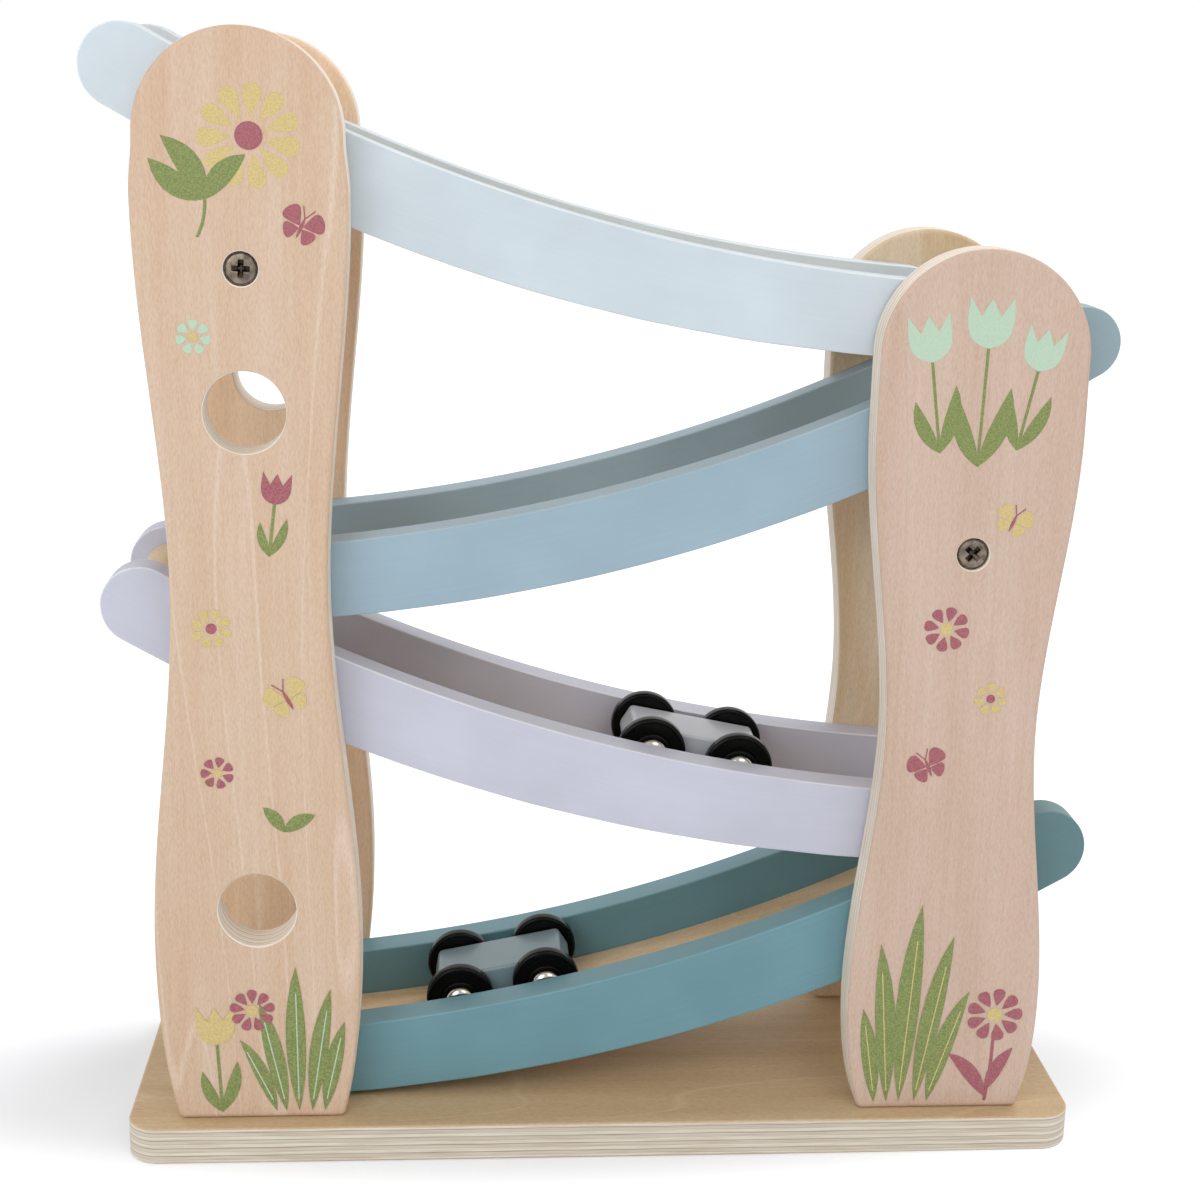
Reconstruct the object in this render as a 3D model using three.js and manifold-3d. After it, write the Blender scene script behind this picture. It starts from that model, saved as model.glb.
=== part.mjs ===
// Wooden zig-zag ramp racer: four curved tracks between two pairs of wavy posts on a plywood base board,
// with two flip-over cars. Millimetres, +X along the board, +Y to the back, +Z up.
// The origin is the middle of the underside of the base board.
import * as THREE from 'three';
import { mergeVertices } from 'three/addons/utils/BufferGeometryUtils.js';
import Module from 'manifold-3d';

const wasm = await Module();
wasm.setup();

// Clearances
const FIT_GAP = 0.25; // between a peg, strip or screw and the hole or groove round it
const ROLL_GAP = 0.25; // between a tyre and the floor it rolls on
const SIDE_PLAY = 0.4; // between a wheel and the car body, and between a wheel and its cap
const BASE_GAP = 0.4; // under the low end of the lowest track
const LANDING_GAP = 4.6; // under the low end of each upper track, above the rails of the next one
const CUT_OVER = 1; // how far a cutter stands out of the face that it cuts

// Base board
const BASE_LENGTH = 300;
const BASE_THICK = 12;
const BASE_CORNER = 10;
const BASE_MARGIN = 6.5; // board that shows in front of the posts, and behind them
const BASE_EDGE = 0.8;

// Posts: a wavy outline with a foot, a hip, a waist, a shoulder and a half-round crown
const POST_THICK = 13;
const POST_INSET = 42.3; // post axis from the end of the board
const POST_EDGE = 1.5;
const FOOT_HALF = 25.6;
const LEFT_POST = {
  hipHalf: 31.3,
  hipHeight: 56,
  waistHalf: 23.1,
  waistDrop: 162,
  shoulderHalf: 30.9,
  shoulderDrop: 50,
  crownHalf: 29.4,
  crownRise: 15, // top of the post above the rail that crosses its axis
  spreaderDrop: 51.4, // screw and spreader below that rail's top edge
};
const RIGHT_POST = {
  hipHalf: 30.3,
  hipHeight: 38,
  waistHalf: 22.9,
  waistDrop: 147,
  shoulderHalf: 31,
  shoulderDrop: 52,
  crownHalf: 31,
  crownRise: 34,
  spreaderDrop: 56.6,
};
const HOLE_DIAMETER = 24; // peep holes in the left posts
const HOLE_LIFT = 44; // upper hole above the low point of the track below it
const LOW_HOLE_LIFT = 48.5;

// Tracks: two rails cut to one curved template, a floor let into them and a round stop at the high end
const TRACK_WIDTH = 67;
const RAIL_THICK = 11;
const RAIL_RADIUS = 555; // top edge of a rail
const RAIL_DEPTH_LOW = 23;
const RAIL_BELLY = 1.4; // extra depth half-way along
const RAIL_EDGE = 0.6;
const HIGH_REACH = 32.9; // centre of the high round end, outside the post axis
const LOW_SETBACK = 9.7; // centre of the low round end, inside the post axis
const FLOOR_DROP = 15.8; // floor below the top edge of the rails
const FLOOR_THICK = 4;
const FLOOR_SETBACK = 14; // end of the floor before the low round end, which leaves the drop open
const SEAT_DEPTH = 3; // floor and stops let into each rail
const STOP_DIAMETER = 14;
const SPREADER_DIAMETER = 14;

// Wood screws
const SCREW_HEAD = 9;
const SCREW_HEAD_HEIGHT = 2.4;
const SCREW_DOME = 1;
const SCREW_SHANK = 4;
const SCREW_TIP = 4;
const SCREW_SINK = 3; // counterbore depth
const SCREW_LENGTH = 34; // under the head
const SCREW_SPREAD = 14; // base screws on each side of a post axis
const CROSS_LENGTH = 5;
const CROSS_WIDTH = 1;
const CROSS_DEPTH = 1.4;

// Cars
const CAR_LENGTH = 46; // from nose to nose
const CAR_FLAT = 41; // length of the flat top, and of the flat underside
const CAR_WIDTH = 22.5;
const CAR_HEIGHT = 13;
const CAR_EDGE = 0.8;
const CAR_ANGLE = THREE.MathUtils.degToRad(11.2); // place on the track, from the lowest point of its arc
const WHEELBASE = 28.8;
const WHEEL_DIAMETER = 22;
const WHEEL_WIDTH = 4.2;
const TYRE_ROUND = 1;
const BOSS_DIAMETER = 12;
const BOSS_HEIGHT = 0.7;
const AXLE_DIAMETER = 3;
const CAP_DIAMETER = 9.6;
const CAP_HEIGHT = 2.6;
const CAP_RIM = 0.6; // straight edge below the dome
const CAP_SEAT = 1.2; // axle end inside its cap

// Facets
const ARC_STEPS = 14; // along a rail or a floor
const CAP_STEPS = 6; // round the end of a rail
const CURVE_STEPS = 7; // along each curve of a post outline
const BEVEL_STEPS = 1;
const ROUND_STEPS = 18; // round a wheel, dowel or hole
const SMALL_STEPS = 10; // round a screw, axle or cap
const CORNER_STEPS = 3; // round the corner of the base board
const DOME_STEPS = 2; // from the rim of a screw head or a cap to its top

// What follows from those sizes
const BASE_DEPTH = TRACK_WIDTH + 2 * POST_THICK + 2 * BASE_MARGIN;
const POST_X = BASE_LENGTH / 2 - POST_INSET;
const POST_Y = (TRACK_WIDTH + POST_THICK) / 2;
const RAIL_Y = (TRACK_WIDTH - RAIL_THICK) / 2;
const CHANNEL = TRACK_WIDTH - 2 * RAIL_THICK;
const SEATED_WIDTH = CHANNEL + 2 * SEAT_DEPTH;
const HIGH_X = POST_X + HIGH_REACH;
const LOW_X = POST_X - LOW_SETBACK;
const FLOOR_RADIUS = RAIL_RADIUS + FLOOR_DROP;
const STOP_RADIUS = STOP_DIAMETER / 2;
const WHEEL_RADIUS = WHEEL_DIAMETER / 2;
const WHEEL_INNER = CAR_WIDTH / 2 + SIDE_PLAY;
const CAP_INNER = WHEEL_INNER + WHEEL_WIDTH + BOSS_HEIGHT + SIDE_PLAY;

// The high side is -1 for left and 1 for right, the overrun is how far beyond the low post's axis the
// centre of the track's arc lies, and the high depth is that of the rails at their high round end.
const tracks = [
  { name: 'track1', high: -1, overrun: 25.8, highDepth: 24.2, colour: 0xd4dee6 },
  { name: 'track2', high: 1, overrun: 34.8, highDepth: 22, colour: 0x9cb8c4 },
  { name: 'track3', high: -1, overrun: 30.5, highDepth: 24.2, colour: 0xc8c8d6 },
  { name: 'track4', high: 1, overrun: 32.5, highDepth: 24.8, colour: 0x6a949d },
];

// Height of a track's top edge where it crosses x.
function topEdge(track, x) {
  return track.arcZ - Math.sqrt(RAIL_RADIUS ** 2 - (x - track.arcX) ** 2);
}

// From the board upwards, each track's low end rests just clear of what lies under it.
tracks.reduceRight((below, track) => {
  const lowEnd = -track.high * LOW_X;
  const support = below ? topEdge(below, lowEnd) + LANDING_GAP : BASE_THICK + BASE_GAP;
  const arcOffset = POST_X + track.overrun;
  track.arcX = -track.high * arcOffset;
  track.arcZ = support + RAIL_DEPTH_LOW + Math.sqrt(RAIL_RADIUS ** 2 - (lowEnd - track.arcX) ** 2);
  track.lowAngle = Math.asin((arcOffset - LOW_X) / (RAIL_RADIUS + RAIL_DEPTH_LOW / 2));
  track.highAngle = Math.asin((arcOffset + HIGH_X) / (RAIL_RADIUS + track.highDepth / 2));
  const stopTurn = (STOP_RADIUS + FIT_GAP) / FLOOR_RADIUS;
  track.floorHigh = track.highAngle - stopTurn;
  track.floorLow = below
    ? Math.asin((arcOffset - LOW_X + FLOOR_SETBACK) / FLOOR_RADIUS)
    : track.lowAngle + stopTurn;
  return track;
}, null);

const [track1, track2, track3, track4] = tracks;

// Materials
function finish(colour, roughness, metalness = 0) {
  return new THREE.MeshStandardMaterial({ color: colour, roughness, metalness });
}
const plywood = finish(0xddc4ab, 0.6);
const boardPly = finish(0xc0a884, 0.6);
const beech = finish(0xd2b48c, 0.6);
const nickel = finish(0x8a8378, 0.35, 1);
const chrome = finish(0xd8d8d8, 0.15, 1);
const blackPlastic = finish(0x1b1d1a, 0.3);

const toy = new THREE.Group();

function addMesh(parent, name, geometry, material) {
  const mesh = new THREE.Mesh(geometry, material);
  mesh.name = name;
  parent.add(mesh);
  return mesh;
}

// Booleans
function toSolid(geometry) {
  const bare = geometry.clone();
  bare.deleteAttribute('normal');
  bare.deleteAttribute('uv');
  const merged = mergeVertices(bare, 1e-3);
  return new wasm.Manifold(
    new wasm.Mesh({
      numProp: 3,
      vertProperties: merged.attributes.position.array,
      triVerts: new Uint32Array(merged.index.array),
    }),
  );
}

function toGeometry(solid) {
  const mesh = solid.getMesh();
  const geometry = new THREE.BufferGeometry();
  geometry.setAttribute('position', new THREE.BufferAttribute(mesh.vertProperties, 3));
  geometry.setIndex(new THREE.BufferAttribute(mesh.triVerts, 1));
  geometry.computeVertexNormals();
  return geometry;
}

function cutFrom(blank, cutters) {
  const solid = cutters.reduce((left, cutter) => left.subtract(toSolid(cutter)), toSolid(blank));
  return toGeometry(solid);
}

// Basic forms
// A flat outline in X and Z, sawn from a board of the given thickness that is centred on Y = 0.
function sawn(shape, thickness, edge, curveSteps) {
  const depth = thickness - 2 * edge;
  const geometry = new THREE.ExtrudeGeometry(shape, {
    depth,
    curveSegments: curveSteps,
    bevelEnabled: edge > 0,
    bevelThickness: edge,
    bevelSize: edge,
    bevelOffset: -edge,
    bevelSegments: BEVEL_STEPS,
  });
  geometry.translate(0, 0, -depth / 2);
  geometry.rotateX(Math.PI / 2);
  return geometry;
}

// A turned piece on the Y axis, from a profile of [radius, y] pairs.
function turned(profile, steps) {
  return new THREE.LatheGeometry(
    profile.map(([radius, y]) => new THREE.Vector2(radius, y)),
    steps,
  );
}

function rod(diameter, length, steps = ROUND_STEPS) {
  return new THREE.CylinderGeometry(diameter / 2, diameter / 2, length, steps);
}

function roundedRectangle(length, width, corner) {
  const [x, y] = [length / 2, width / 2];
  const shape = new THREE.Shape();
  shape.moveTo(corner - x, -y);
  shape.lineTo(x - corner, -y);
  shape.absarc(x - corner, corner - y, corner, -Math.PI / 2, 0);
  shape.lineTo(x, y - corner);
  shape.absarc(x - corner, y - corner, corner, 0, Math.PI / 2);
  shape.lineTo(corner - x, y);
  shape.absarc(corner - x, y - corner, corner, Math.PI / 2, Math.PI);
  shape.lineTo(-x, corner - y);
  shape.absarc(corner - x, corner - y, corner, Math.PI, Math.PI * 1.5);
  return shape;
}

function roundHole(x, y, diameter) {
  const hole = new THREE.Path();
  hole.absarc(x, y, diameter / 2, 0, Math.PI * 2, true);
  return hole;
}

// A shallow dome, as [radius, drop] pairs from its top out to its rim.
function dome(radius, drop) {
  return Array.from({ length: DOME_STEPS + 1 }, (_, i) => {
    const share = i / DOME_STEPS;
    return [radius * share, drop * share ** 2];
  });
}

// Screws: the head's crown lies at y = 0 and the tip points along +Y.
function screwGeometry() {
  const [head, shank] = [SCREW_HEAD / 2, SCREW_SHANK / 2];
  const tip = SCREW_HEAD_HEIGHT + SCREW_LENGTH;
  const blank = turned(
    [
      ...dome(head, SCREW_DOME),
      [head, SCREW_HEAD_HEIGHT],
      [shank, SCREW_HEAD_HEIGHT],
      [shank, tip - SCREW_TIP],
      [0, tip],
    ],
    SMALL_STEPS,
  );
  const slot = new THREE.BoxGeometry(CROSS_LENGTH, 2 * CROSS_DEPTH, CROSS_WIDTH);
  return cutFrom(blank, [slot, slot.clone().rotateY(Math.PI / 2)]);
}

// The hole for a screw: a counterbore that opens at y = 0, and a bore for the shank.
function screwHole() {
  const bore = SCREW_SHANK / 2 + FIT_GAP;
  const mouth = SCREW_HEAD / 2 + 2 * FIT_GAP;
  const end = SCREW_SINK + SCREW_LENGTH + FIT_GAP;
  return turned(
    [
      [0, -CUT_OVER],
      [mouth, -CUT_OVER],
      [mouth, SCREW_SINK],
      [bore, SCREW_SINK],
      [bore, end],
      [0, end],
    ],
    SMALL_STEPS,
  );
}
const SCREW_TOP = SCREW_SINK - SCREW_HEAD_HEIGHT;
const screw = screwGeometry();

// Base board
const baseScrewXs = [-POST_X, POST_X].flatMap((x) => [x - SCREW_SPREAD, x + SCREW_SPREAD]);
const baseOutline = roundedRectangle(BASE_LENGTH, BASE_DEPTH, BASE_CORNER);
const baseBlank = sawn(baseOutline, BASE_THICK, BASE_EDGE, CORNER_STEPS);
baseBlank.rotateX(-Math.PI / 2);
baseBlank.translate(0, 0, BASE_THICK / 2);
const baseHoles = baseScrewXs.flatMap((x) =>
  [-POST_Y, POST_Y].map((y) => screwHole().rotateX(Math.PI / 2).translate(x, y, 0)),
);
addMesh(toy, 'base_board', cutFrom(baseBlank, baseHoles), boardPly);

// Posts
// Half of a post outline is an S from hip to waist, from there to the shoulder, and on to the round crown.
function postShape(post, height) {
  const shoulder = height - post.shoulderDrop;
  const waist = height - post.waistDrop;
  const crownCentre = height - post.crownHalf;
  const footLean = (post.hipHalf - FOOT_HALF) / 2;
  const footPull = post.hipHeight / 5;
  const hipPull = post.hipHeight / 2;
  const shape = new THREE.Shape();
  const wave = (side, fromHalf, fromHeight, toHalf, toHeight) => {
    const pull = (toHeight - fromHeight) / 3;
    shape.bezierCurveTo(
      side * fromHalf,
      fromHeight + pull,
      side * toHalf,
      toHeight - pull,
      side * toHalf,
      toHeight,
    );
  };
  const { hipHalf, hipHeight, waistHalf, shoulderHalf, crownHalf } = post;
  shape.moveTo(-FOOT_HALF, 0);
  shape.lineTo(FOOT_HALF, 0);
  shape.bezierCurveTo(FOOT_HALF + footLean, footPull, hipHalf, hipPull, hipHalf, hipHeight);
  wave(1, hipHalf, hipHeight, waistHalf, waist);
  wave(1, waistHalf, waist, shoulderHalf, shoulder);
  wave(1, shoulderHalf, shoulder, crownHalf, crownCentre);
  shape.absarc(0, crownCentre, crownHalf, 0, Math.PI);
  wave(-1, crownHalf, crownCentre, shoulderHalf, shoulder);
  wave(-1, shoulderHalf, shoulder, waistHalf, waist);
  wave(-1, waistHalf, waist, hipHalf, hipHeight);
  shape.bezierCurveTo(-hipHalf, hipPull, -FOOT_HALF - footLean, footPull, -FOOT_HALF, 0);
  return shape;
}

// The front post of a pair, with its foot at Z = 0; the rear post is the same piece turned round.
function postGeometry(post, height, spreaderHeight, holeHeights) {
  const shape = postShape(post, height);
  shape.holes.push(...holeHeights.map((z) => roundHole(0, z, HOLE_DIAMETER)));
  const blank = sawn(shape, POST_THICK, POST_EDGE, CURVE_STEPS);
  const spreaderHole = screwHole().translate(0, -POST_THICK / 2, spreaderHeight);
  const footHoles = [-SCREW_SPREAD, SCREW_SPREAD].map((x) =>
    screwHole().rotateX(Math.PI / 2).translate(x, 0, -BASE_THICK),
  );
  return cutFrom(blank, [spreaderHole, ...footHoles]);
}

const pairs = [
  {
    side: 'left',
    x: -POST_X,
    post: LEFT_POST,
    railTop: topEdge(track1, -POST_X),
    holes: [
      topEdge(track2, track2.arcX) + HOLE_LIFT - BASE_THICK,
      topEdge(track4, track4.arcX) + LOW_HOLE_LIFT - BASE_THICK,
    ],
  },
  { side: 'right', x: POST_X, post: RIGHT_POST, railTop: topEdge(track2, POST_X), holes: [] },
];

// A spreader is a dowel between the posts of a pair, bored at both ends for its screws.
function spreaderGeometry() {
  const [radius, bore] = [SPREADER_DIAMETER / 2, SCREW_SHANK / 2 + FIT_GAP];
  const half = TRACK_WIDTH / 2;
  const boreEnd = half - (SCREW_LENGTH + SCREW_SINK - POST_THICK + FIT_GAP);
  return turned(
    [
      [0, -boreEnd],
      [bore, -boreEnd],
      [bore, -half],
      [radius, -half],
      [radius, half],
      [bore, half],
      [bore, boreEnd],
      [0, boreEnd],
    ],
    ROUND_STEPS,
  );
}

for (const { side, x, post, railTop, holes } of pairs) {
  const height = railTop + post.crownRise - BASE_THICK;
  const spreaderZ = railTop - post.spreaderDrop;
  const geometry = postGeometry(post, height, spreaderZ - BASE_THICK, holes);
  addMesh(toy, `spreader_${side}`, spreaderGeometry(), beech).position.set(x, 0, spreaderZ);
  for (const [row, front] of [['front', 1], ['rear', -1]]) {
    const turn = front > 0 ? 0 : Math.PI;
    const wall = addMesh(toy, `post_${side}_${row}`, geometry, plywood);
    wall.position.set(x, -front * POST_Y, BASE_THICK);
    wall.rotation.z = turn;
    const spreaderScrew = addMesh(toy, `post_screw_${side}_${row}`, screw, nickel);
    spreaderScrew.position.set(x, -front * (POST_Y + POST_THICK / 2 - SCREW_TOP), spreaderZ);
    spreaderScrew.rotation.z = turn;
    for (const [end, offset] of [['a', -SCREW_SPREAD], ['b', SCREW_SPREAD]]) {
      const footScrew = addMesh(toy, `foot_screw_${side}_${row}_${end}`, screw, nickel);
      footScrew.position.set(x + offset, -front * POST_Y, SCREW_TOP);
      footScrew.rotation.x = Math.PI / 2;
    }
  }
}

// Tracks
// A point at a radius from the centre of a track's arc, and an angle from straight down to the high side.
function arcPoint(track, radius, angle) {
  return new THREE.Vector2(
    track.arcX + track.high * radius * Math.sin(angle),
    track.arcZ - radius * Math.cos(angle),
  );
}

function arcRun(track, radiusAt, from, to) {
  return Array.from({ length: ARC_STEPS + 1 }, (_, i) => {
    const angle = from + ((to - from) * i) / ARC_STEPS;
    return arcPoint(track, radiusAt(angle), angle);
  });
}

// A curved strip between two radii.
function strip(track, inner, outer, from, to, width) {
  const points = [
    ...arcRun(track, () => inner, from, to),
    ...arcRun(track, () => outer, to, from),
  ];
  return sawn(new THREE.Shape(points), width, 0);
}

// The half-round end of a rail, which bulges along the track in the given sense.
function roundEnd(track, angle, depth, sense) {
  const radius = depth / 2;
  const centre = arcPoint(track, RAIL_RADIUS + radius, angle);
  return Array.from({ length: CAP_STEPS - 1 }, (_, i) => {
    const turn = (Math.PI * (i + 1)) / CAP_STEPS;
    const down = -sense * radius * Math.cos(turn);
    const along = sense * radius * Math.sin(turn);
    return new THREE.Vector2(
      centre.x + track.high * (down * Math.sin(angle) + along * Math.cos(angle)),
      centre.y - down * Math.cos(angle) + along * Math.sin(angle),
    );
  });
}

function railShape(track) {
  const { lowAngle, highAngle, highDepth } = track;
  const underside = (angle) => {
    const share = (angle - lowAngle) / (highAngle - lowAngle);
    const belly = RAIL_BELLY * Math.sin(Math.PI * share);
    return RAIL_RADIUS + RAIL_DEPTH_LOW + (highDepth - RAIL_DEPTH_LOW) * share + belly;
  };
  return new THREE.Shape([
    ...arcRun(track, () => RAIL_RADIUS, lowAngle, highAngle),
    ...roundEnd(track, highAngle, highDepth, 1),
    ...arcRun(track, underside, highAngle, lowAngle),
    ...roundEnd(track, lowAngle, RAIL_DEPTH_LOW, -1),
  ]);
}

// Stops are round dowels on the centres of the rails' round ends: one at the top of every track,
// and one at the foot of the lowest.
function stopCentres(track) {
  const high = arcPoint(track, RAIL_RADIUS + track.highDepth / 2, track.highAngle);
  const low = arcPoint(track, RAIL_RADIUS + RAIL_DEPTH_LOW / 2, track.lowAngle);
  return track === track4 ? { high, low } : { high };
}

for (const track of tracks) {
  const paint = finish(track.colour, 0.45);
  const stops = Object.entries(stopCentres(track));
  const gapTurn = FIT_GAP / FLOOR_RADIUS;
  const cutters = [
    strip(
      track,
      FLOOR_RADIUS - FIT_GAP,
      FLOOR_RADIUS + FLOOR_THICK + FIT_GAP,
      track.floorLow - gapTurn,
      track.floorHigh + gapTurn,
      SEATED_WIDTH,
    ),
    ...stops.map(([, centre]) =>
      rod(STOP_DIAMETER + 2 * FIT_GAP, SEATED_WIDTH).translate(centre.x, 0, centre.y),
    ),
  ];
  for (const [row, side] of [['front', -1], ['rear', 1]]) {
    const blank = sawn(railShape(track), RAIL_THICK, RAIL_EDGE).translate(0, side * RAIL_Y, 0);
    addMesh(toy, `${track.name}_rail_${row}`, cutFrom(blank, cutters), paint);
  }
  const floor = strip(
    track,
    FLOOR_RADIUS,
    FLOOR_RADIUS + FLOOR_THICK,
    track.floorLow,
    track.floorHigh,
    SEATED_WIDTH,
  );
  addMesh(toy, `${track.name}_floor`, floor, beech);
  for (const [end, centre] of stops) {
    const stop = addMesh(toy, `${track.name}_stop_${end}`, rod(STOP_DIAMETER, SEATED_WIDTH), beech);
    stop.position.set(centre.x, 0, centre.y);
  }
}

// Cars, each built level about the middle of its wheelbase and then set on its track
// A body has the same six-sided outline either way up, because the car turns over at each drop.
function carBody() {
  const [nose, flat, half] = [CAR_LENGTH / 2, CAR_FLAT / 2, CAR_HEIGHT / 2];
  const shape = new THREE.Shape();
  shape.moveTo(-flat, -half);
  shape.lineTo(flat, -half);
  shape.lineTo(nose, 0);
  shape.lineTo(flat, half);
  shape.lineTo(-flat, half);
  shape.lineTo(-nose, 0);
  const bore = AXLE_DIAMETER + 2 * FIT_GAP;
  shape.holes.push(roundHole(-WHEELBASE / 2, 0, bore), roundHole(WHEELBASE / 2, 0, bore));
  return sawn(shape, CAR_WIDTH, CAR_EDGE, CAP_STEPS);
}

// The inner face of a wheel lies at y = 0, and its boss stands out on the far side.
function wheelGeometry() {
  const bore = AXLE_DIAMETER / 2 + FIT_GAP;
  const boss = BOSS_DIAMETER / 2;
  const shoulder = WHEEL_RADIUS - TYRE_ROUND;
  return turned(
    [
      [bore, 0],
      [shoulder, 0],
      [WHEEL_RADIUS, TYRE_ROUND],
      [WHEEL_RADIUS, WHEEL_WIDTH - TYRE_ROUND],
      [shoulder, WHEEL_WIDTH],
      [boss, WHEEL_WIDTH],
      [boss - BOSS_HEIGHT, WHEEL_WIDTH + BOSS_HEIGHT],
      [bore, WHEEL_WIDTH + BOSS_HEIGHT],
      [bore, 0],
    ],
    ROUND_STEPS,
  );
}

// A domed cap whose blind hole at y = 0 takes the end of an axle.
function capGeometry() {
  const [radius, bore] = [CAP_DIAMETER / 2, AXLE_DIAMETER / 2 + FIT_GAP];
  const crown = dome(radius, CAP_HEIGHT - CAP_RIM).map(([r, drop]) => [r, CAP_HEIGHT - drop]);
  return turned(
    [[0, CAP_SEAT], [bore, CAP_SEAT], [bore, 0], [radius, 0], ...crown.reverse()],
    SMALL_STEPS,
  );
}

const axleLength = 2 * (CAP_INNER + CAP_SEAT);
const wheel = wheelGeometry();
const cap = capGeometry();

function addCar(name, track, colour) {
  const axlePath = FLOOR_RADIUS - WHEEL_RADIUS - ROLL_GAP;
  const centre = arcPoint(track, Math.sqrt(axlePath ** 2 - (WHEELBASE / 2) ** 2), CAR_ANGLE);
  const car = new THREE.Group();
  car.position.set(centre.x, 0, centre.y);
  car.rotation.y = -track.high * CAR_ANGLE;
  addMesh(car, `${name}_body`, carBody(), finish(colour, 0.4));
  for (const [end, x] of [['left', -WHEELBASE / 2], ['right', WHEELBASE / 2]]) {
    addMesh(car, `${name}_axle_${end}`, rod(AXLE_DIAMETER, axleLength, SMALL_STEPS), chrome).position.x = x;
    for (const [row, side] of [['front', -1], ['rear', 1]]) {
      const turn = side > 0 ? 0 : Math.PI;
      const tyre = addMesh(car, `${name}_wheel_${end}_${row}`, wheel, blackPlastic);
      tyre.position.set(x, side * WHEEL_INNER, 0);
      tyre.rotation.x = turn;
      const hub = addMesh(car, `${name}_cap_${end}_${row}`, cap, chrome);
      hub.position.set(x, side * CAP_INNER, 0);
      hub.rotation.x = turn;
    }
  }
  toy.add(car);
}

addCar('upper_car', track3, 0xb9bbc2);
addCar('lower_car', track4, 0x84959a);

export default toy;
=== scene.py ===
from math import asin, cos, hypot, pi, radians, sin, sqrt, tan

import bmesh
import bpy
from mathutils import Matrix, Vector
from mathutils.geometry import interpolate_bezier


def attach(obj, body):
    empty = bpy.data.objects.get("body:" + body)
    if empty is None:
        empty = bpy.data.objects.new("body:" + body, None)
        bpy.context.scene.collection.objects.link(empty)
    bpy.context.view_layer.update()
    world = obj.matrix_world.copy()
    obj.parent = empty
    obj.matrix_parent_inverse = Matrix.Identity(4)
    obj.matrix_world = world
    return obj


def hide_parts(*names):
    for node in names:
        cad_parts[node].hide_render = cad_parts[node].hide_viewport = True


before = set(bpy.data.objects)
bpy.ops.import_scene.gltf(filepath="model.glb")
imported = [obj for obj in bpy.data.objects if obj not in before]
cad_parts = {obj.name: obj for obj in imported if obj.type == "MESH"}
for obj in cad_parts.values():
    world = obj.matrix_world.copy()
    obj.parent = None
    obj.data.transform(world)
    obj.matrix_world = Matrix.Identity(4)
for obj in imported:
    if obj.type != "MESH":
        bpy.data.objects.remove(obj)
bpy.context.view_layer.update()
scene = bpy.context.scene
mm = 0.001
weld = 0.002 * mm  # points closer than this become one
print("frame loaded,", len(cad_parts), "nodes")


# colours and nodes
def hexToLinear(code):
    parts = [int(code[i:i + 2], 16) / 255 for i in (1, 3, 5)]
    return [p / 12.92 if p <= 0.04045 else ((p + 0.055) / 1.055) ** 2.4 for p in parts] + [1]


# a paint's colour between a shade and a pale two levels from it
def paintTones(code):
    levels = [int(code[i:i + 2], 16) for i in (1, 3, 5)]
    return ["#" + "".join(f"{level + step:02x}" for level in levels) for step in (-2, 0, 2)]


# settings are a node's own values, the values of its sockets or the places and tones of its ramp's stops,
# where a plain number is a grey; a link comes from a socket, or from a node's first output
def setNode(tree, node, settings=None, links=None):
    for key, value in (settings or {}).items():
        if key == "stops":
            elements = node.color_ramp.elements
            while len(elements) < len(value[0]):
                elements.new(0.5)
            for element, place, tone in zip(elements, *value):
                element.position = place
                element.color = hexToLinear(tone) if isinstance(tone, str) else (tone, tone, tone, 1)
        elif isinstance(key, str) and hasattr(node, key):
            setattr(node, key, value)
        else:
            node.inputs[key].default_value = value
    for key, source in (links or {}).items():
        tree.links.new(getattr(source, "outputs", [source])[0], node.inputs[key])
    return node


def addNode(tree, kind, settings=None, links=None):
    return setNode(tree, tree.nodes.new("ShaderNode" + kind), settings, links)


def newMaterial(name):
    material = bpy.data.materials.new(name)
    material.use_nodes = True
    tree = material.node_tree
    return material, tree, tree.nodes["Principled BSDF"], addNode(tree, "TexCoord").outputs["Object"]


multiply = {"data_type": "RGBA", "blend_type": "MULTIPLY"}


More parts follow.
